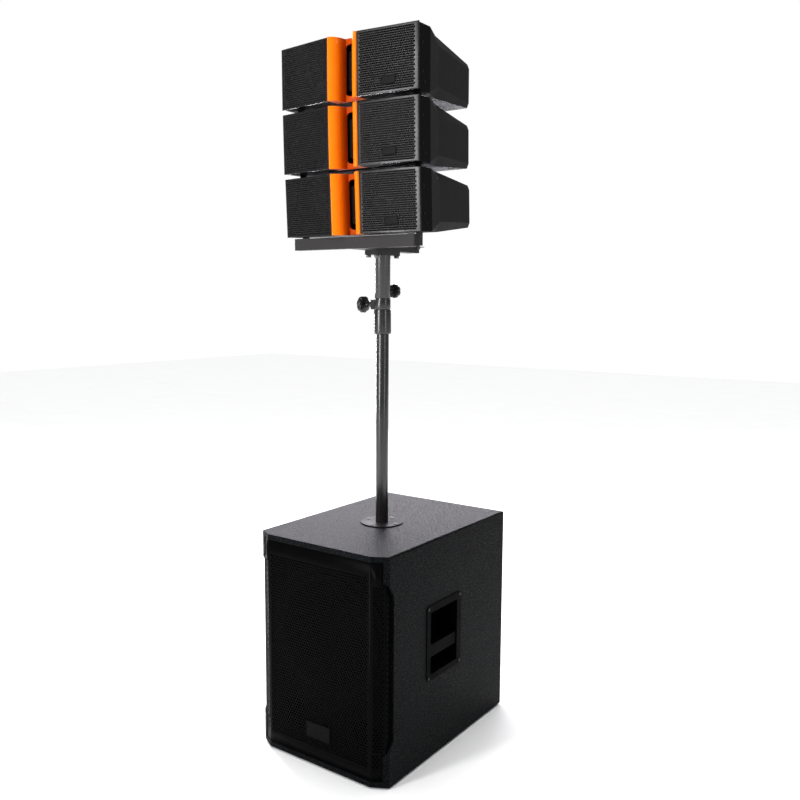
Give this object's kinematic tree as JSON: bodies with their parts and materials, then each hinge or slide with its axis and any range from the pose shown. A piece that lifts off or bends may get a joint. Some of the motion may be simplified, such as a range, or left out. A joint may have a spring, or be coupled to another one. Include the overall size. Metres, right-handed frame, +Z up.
{
  "type": "line array speaker",
  "caption": "Ground-stacked line array: wide array boxes with orange horns on a T beam, carried by a telescopic pole in the top of a powered subwoofer.",
  "frame": {"origin": "on the floor under the middle of the whole object", "axes": "+Z up, the grilles face -Y, +X to the right of someone facing the back of the grilles"},
  "size_m": [0.44, 0.6, 1.8839],
  "materials": {
    "coated_plywood": "coarse textured black coating",
    "bare_plywood": "black stained board",
    "grille_steel": "satin black powder coat, perforated",
    "badge_metal": "black satin blank plate",
    "basket_metal": "black satin",
    "magnet_ferrite": "matt dark grey",
    "cone_paper": "matt fibre cone",
    "port_plastic": "matt black",
    "handle_plastic": "fine grained black",
    "painted_steel": "satin black powder coat",
    "foot_rubber": "matt",
    "bare_aluminium": "black anodised fins",
    "circuit_board": "satin board",
    "socket_plastic": "satin black",
    "knob_plastic": "satin black",
    "dark_screws": "black zinc",
    "pole_paint": "satin dark grey powder coat",
    "bright_steel": "zinc plated",
    "beam_paint": "fine textured black powder coat",
    "cap_plastic": "satin black",
    "box_shell": "fine textured black",
    "front_moulding": "satin black",
    "box_grille_steel": "satin black powder coat, perforated",
    "horn_orange": "glossy orange",
    "driver_metal": "matt black",
    "rigging_steel": "fine textured black powder coat"
  },
  "bodies": {
    "subwoofer": {"sub_cabinet": "coated_plywood", "sub_baffle": "bare_plywood", "sub_grille": "grille_steel", "sub_badge": "badge_metal", "sub_woofer_frame": "basket_metal", "sub_woofer_magnet": "magnet_ferrite", "sub_ports": "port_plastic", "handle_right": "handle_plastic", "handle_left": "handle_plastic", "pole_socket": "painted_steel", "sub_feet": "foot_rubber", "amp_plate": "painted_steel", "amp_heatsink": "bare_aluminium", "amp_electronics": "circuit_board", "amp_sockets": "socket_plastic", "sub_screws": "dark_screws"},
    "sub_cone": {"sub_woofer_cone": "cone_paper"},
    "level_knob": {"level_knob": "knob_plastic"},
    "power_rocker": {"power_rocker": "knob_plastic"},
    "lower_pole": {"lower_pole": "pole_paint"},
    "upper_pole": {"upper_pole": "pole_paint", "pole_sleeve": "pole_paint", "clamp_collar": "pole_paint", "plate_bolts": "bright_steel", "array_beam": "beam_paint", "beam_caps": "cap_plastic", "rear_strut": "beam_paint"},
    "clamp_knob": {"clamp_knob": "knob_plastic"},
    "lock_knob": {"lock_knob": "knob_plastic"},
    "quick_pin": {"quick_pin": "bright_steel"},
    "low_box": {"low_cabinet": "box_shell", "low_front_frame": "front_moulding", "low_grilles": "box_grille_steel", "low_waveguide": "horn_orange", "low_hf_driver": "driver_metal", "low_woofer_frames": "basket_metal", "low_woofer_magnets": "magnet_ferrite", "low_socket_plate": "socket_plastic", "low_rigging": "rigging_steel"},
    "low_cones": {"low_woofer_cones": "cone_paper"},
    "mid_box": {"mid_cabinet": "box_shell", "mid_front_frame": "front_moulding", "mid_grilles": "box_grille_steel", "mid_waveguide": "horn_orange", "mid_hf_driver": "driver_metal", "mid_woofer_frames": "basket_metal", "mid_woofer_magnets": "magnet_ferrite", "mid_socket_plate": "socket_plastic", "mid_rigging": "rigging_steel"},
    "mid_cones": {"mid_woofer_cones": "cone_paper"},
    "top_box": {"top_cabinet": "box_shell", "top_front_frame": "front_moulding", "top_grilles": "box_grille_steel", "top_waveguide": "horn_orange", "top_hf_driver": "driver_metal", "top_woofer_frames": "basket_metal", "top_woofer_magnets": "magnet_ferrite", "top_socket_plate": "socket_plastic", "top_rigging": "rigging_steel"},
    "top_cones": {"top_woofer_cones": "cone_paper"}
  },
  "joints": [
    {"name": "pole_turn", "type": "hinge", "parent": "subwoofer", "child": "lower_pole", "pos_m": [0, -0.02, 0.6], "axis": [0, 0, 1], "continuous": true},
    {"name": "pole_height", "type": "slide", "parent": "lower_pole", "child": "upper_pole", "axis": [0, 0, 1], "range_m": [0, 0.13]},
    {"name": "clamp_screw", "type": "hinge", "parent": "upper_pole", "child": "clamp_knob", "pos_m": [-0.066, -0.02, 1.215], "axis": [-1, 0, 0], "range_deg": [0, 540]},
    {"name": "lock_screw", "type": "hinge", "parent": "upper_pole", "child": "lock_knob", "pos_m": [0, 0.034, 1.252], "axis": [0, 1, 0], "range_deg": [0, 540]},
    {"name": "quick_pin_pull", "type": "slide", "parent": "upper_pole", "child": "quick_pin", "axis": [1, 0, 0], "range_m": [0, 0.05]},
    {"name": "array_tilt", "type": "hinge", "parent": "upper_pole", "child": "low_box", "pos_m": [0, -0.11926, 1.41583], "axis": [1, 0, 0], "range_deg": [-2.5, 3.5]},
    {"name": "mid_splay", "type": "hinge", "parent": "low_box", "child": "mid_box", "pos_m": [0, -0.12911, 1.58184], "axis": [1, 0, 0], "range_deg": [-5.5, 1.1]},
    {"name": "top_splay", "type": "hinge", "parent": "mid_box", "child": "top_box", "pos_m": [0, -0.13373, 1.74827], "axis": [1, 0, 0], "range_deg": [-5.5, 1.1]},
    {"name": "sub_cone_travel", "type": "slide", "parent": "subwoofer", "child": "sub_cone", "axis": [0, -1, 0], "range_m": [-0.008, 0.008], "stiffness_N_per_m": 6000},
    {"name": "low_cone_travel", "type": "slide", "parent": "low_box", "child": "low_cones", "axis": [0, -0.999, -0.0445], "range_m": [-0.003, 0.003], "stiffness_N_per_m": 1500},
    {"name": "mid_cone_travel", "type": "slide", "parent": "mid_box", "child": "mid_cones", "axis": [0, -0.9997, -0.0243], "range_m": [-0.003, 0.003], "stiffness_N_per_m": 1500},
    {"name": "top_cone_travel", "type": "slide", "parent": "top_box", "child": "top_cones", "axis": [0, -1, -0.0065], "range_m": [-0.003, 0.003], "stiffness_N_per_m": 1500},
    {"name": "level_turn", "type": "hinge", "parent": "subwoofer", "child": "level_knob", "pos_m": [-0.07, 0.292, 0.29], "axis": [0, 1, 0], "range_deg": [0, 300]},
    {"name": "power_switch", "type": "hinge", "parent": "subwoofer", "child": "power_rocker", "pos_m": [0.075, 0.292, 0.165], "axis": [1, 0, 0], "range_deg": [0, 12]}
  ]
}
